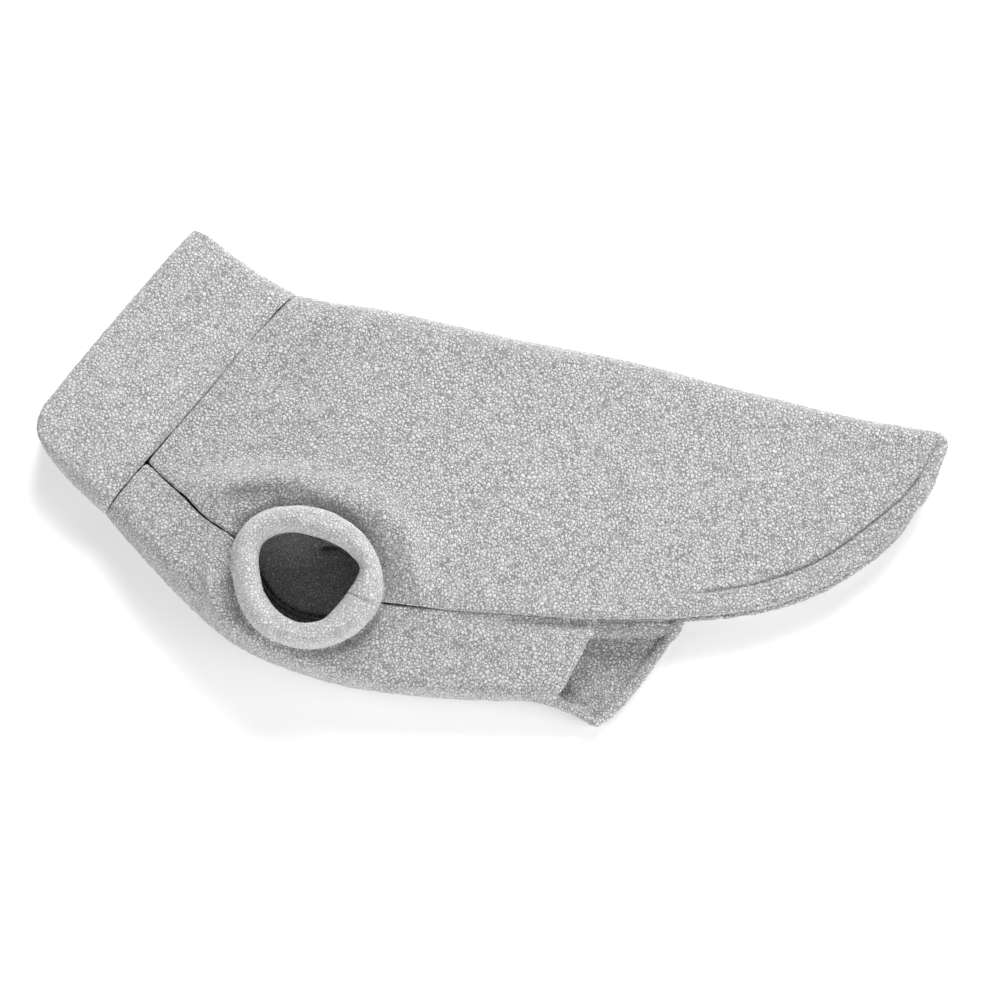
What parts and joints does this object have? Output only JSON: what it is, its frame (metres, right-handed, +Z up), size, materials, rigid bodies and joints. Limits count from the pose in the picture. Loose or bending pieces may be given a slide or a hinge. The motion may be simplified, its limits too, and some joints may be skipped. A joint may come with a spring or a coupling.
{
  "type": "dog fleece pullover",
  "caption": "Dog's fleece pullover lying on its side: turtleneck band, leg cuffs, long back with a rounded tail and a short belly panel.",
  "frame": {"origin": "middle of the garment's box, on the surface that it lies on", "axes": "+X from the collar to the tail, +Y from the belly to the spine, +Z up through the garment, which lies on its right side"},
  "size_m": [0.4434, 0.2378, 0.05],
  "materials": {
    "body_fleece": "short nubbly pile, matte",
    "band_fleece": "short nubbly pile, matte",
    "sewing_thread": "spun polyester, satin"
  },
  "bodies": {
    "garment": {"back_panel": "body_fleece", "chest_belly_panel": "body_fleece", "left_leg_cuff": "band_fleece", "right_leg_cuff": "band_fleece", "collar_seam_thread": "sewing_thread", "left_shoulder_seam_thread": "sewing_thread", "right_shoulder_seam_thread": "sewing_thread", "left_side_seam_thread": "sewing_thread", "right_side_seam_thread": "sewing_thread", "left_armhole_seam_thread": "sewing_thread", "right_armhole_seam_thread": "sewing_thread", "left_cuff_closing_thread": "sewing_thread", "right_cuff_closing_thread": "sewing_thread", "back_hem_thread": "sewing_thread", "belly_hem_thread": "sewing_thread"},
    "turtleneck": {"collar": "band_fleece", "collar_closing_thread": "sewing_thread"}
  },
  "joints": [
    {"name": "collar_fold", "type": "hinge", "parent": "garment", "child": "turtleneck", "pos_m": [-0.14245, 0.03475, 0.0224], "axis": [0.6418, 0.7669, 0], "range_deg": [0, 120]}
  ]
}
